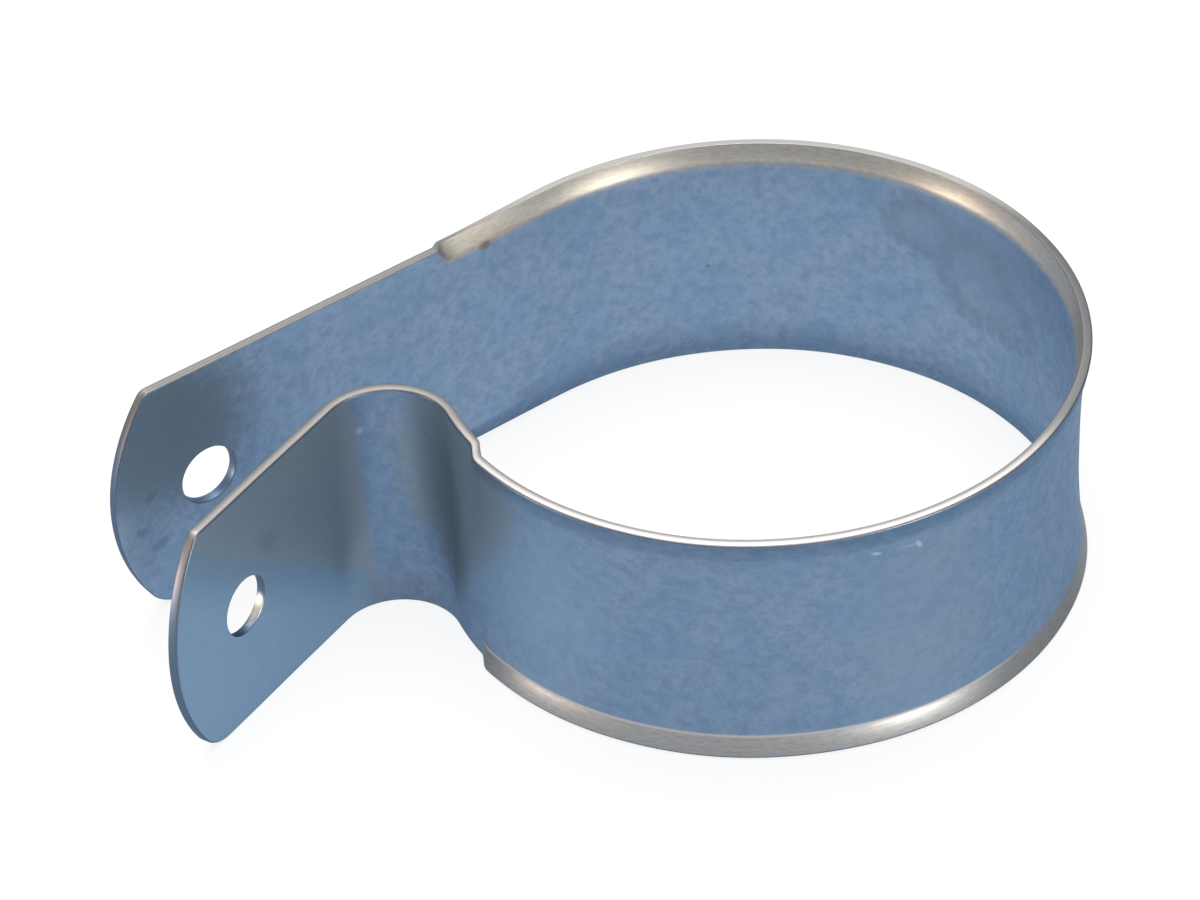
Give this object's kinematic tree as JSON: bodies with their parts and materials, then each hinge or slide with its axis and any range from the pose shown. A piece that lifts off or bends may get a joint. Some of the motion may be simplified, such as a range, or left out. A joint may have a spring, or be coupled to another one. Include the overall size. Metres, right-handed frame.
{
  "type": "conduit strap",
  "caption": "One-piece steel strap folded into a loop with flared rims, a straight leg and an offset leg, to clamp a conduit with a bolt through its rounded ears.",
  "frame": {"origin": "on the axis of the loop, at the middle of the strip's width", "axes": "+Z along the loop's axis; the straight leg leaves the loop at its +Y side and runs towards -X"},
  "size_m": [0.1151, 0.0778, 0.0314],
  "materials": {
    "zinc_steel": "satin blue-grey zinc plating, rubbed to bare silver on the flared rims and cut edges"
  },
  "bodies": {
    "root": {"strap": "zinc_steel"}
  },
  "joints": []
}
